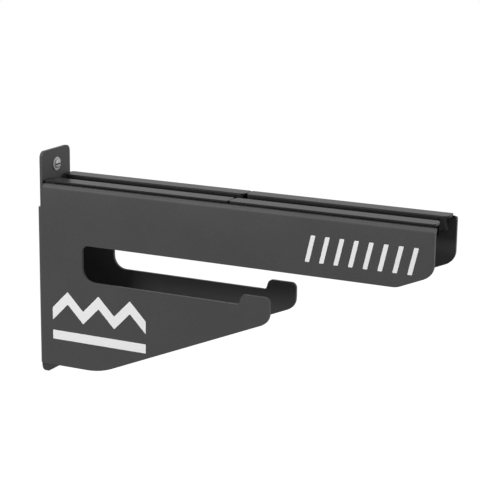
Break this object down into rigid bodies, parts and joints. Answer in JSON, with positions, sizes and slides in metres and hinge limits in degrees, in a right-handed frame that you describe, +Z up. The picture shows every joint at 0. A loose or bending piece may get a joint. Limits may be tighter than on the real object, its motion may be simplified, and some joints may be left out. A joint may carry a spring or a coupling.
{
  "type": "ski wall rack",
  "caption": "Folded steel wall rack: skis hang in the slot between hinged jaws along its arms, and poles hang on the hooks below.",
  "frame": {"origin": "on the wall face, in the middle plane, level with the tops of the arms", "axes": "+X out from the wall along the arms, +Z up, near arm at -Y and far arm at +Y"},
  "size_m": [0.4156, 0.062, 0.221],
  "materials": {
    "powder_coat": "fine-grained matt powder coat",
    "jaw_moulding": "lightly grained moulding",
    "grip_rubber": "dull rubber with fine grooves",
    "zinc_steel": "dull zinc plate",
    "black_steel": "blackened steel"
  },
  "bodies": {
    "rack": {"bracket_body": "powder_coat", "hanger_near_wall_1": "powder_coat", "hanger_near_wall_2": "powder_coat", "hanger_near_front_1": "powder_coat", "hanger_near_front_2": "powder_coat", "hanger_far_wall_1": "powder_coat", "hanger_far_wall_2": "powder_coat", "hanger_far_front_1": "powder_coat", "hanger_far_front_2": "powder_coat", "pivot_rod_near": "black_steel", "pivot_rod_far": "black_steel", "rod_ring_near_wall": "black_steel", "rod_ring_near_front": "black_steel", "rod_ring_far_wall": "black_steel", "rod_ring_far_front": "black_steel", "washer_top": "zinc_steel", "washer_bottom": "zinc_steel", "wall_screw_top": "zinc_steel", "wall_screw_bottom": "zinc_steel"},
    "near_wall_jaw": {"jaw_near_wall": "jaw_moulding", "grip_near_wall": "grip_rubber"},
    "near_front_jaw": {"jaw_near_front": "jaw_moulding", "grip_near_front": "grip_rubber"},
    "far_wall_jaw": {"jaw_far_wall": "jaw_moulding", "grip_far_wall": "grip_rubber"},
    "far_front_jaw": {"jaw_far_front": "jaw_moulding", "grip_far_front": "grip_rubber"}
  },
  "joints": [
    {"name": "near_wall_lift", "type": "hinge", "parent": "rack", "child": "near_wall_jaw", "pos_m": [0.10347, -0.0249, -0.007], "axis": [1, 0, 0], "range_deg": [0, 35]},
    {"name": "near_front_lift", "type": "hinge", "parent": "rack", "child": "near_front_jaw", "pos_m": [0.30002, -0.0249, -0.007], "axis": [1, 0, 0], "range_deg": [0, 35]},
    {"name": "far_wall_lift", "type": "hinge", "parent": "rack", "child": "far_wall_jaw", "pos_m": [0.10347, 0.0249, -0.007], "axis": [-1, 0, 0], "range_deg": [0, 35]},
    {"name": "far_front_lift", "type": "hinge", "parent": "rack", "child": "far_front_jaw", "pos_m": [0.30002, 0.0249, -0.007], "axis": [-1, 0, 0], "range_deg": [0, 35]}
  ]
}
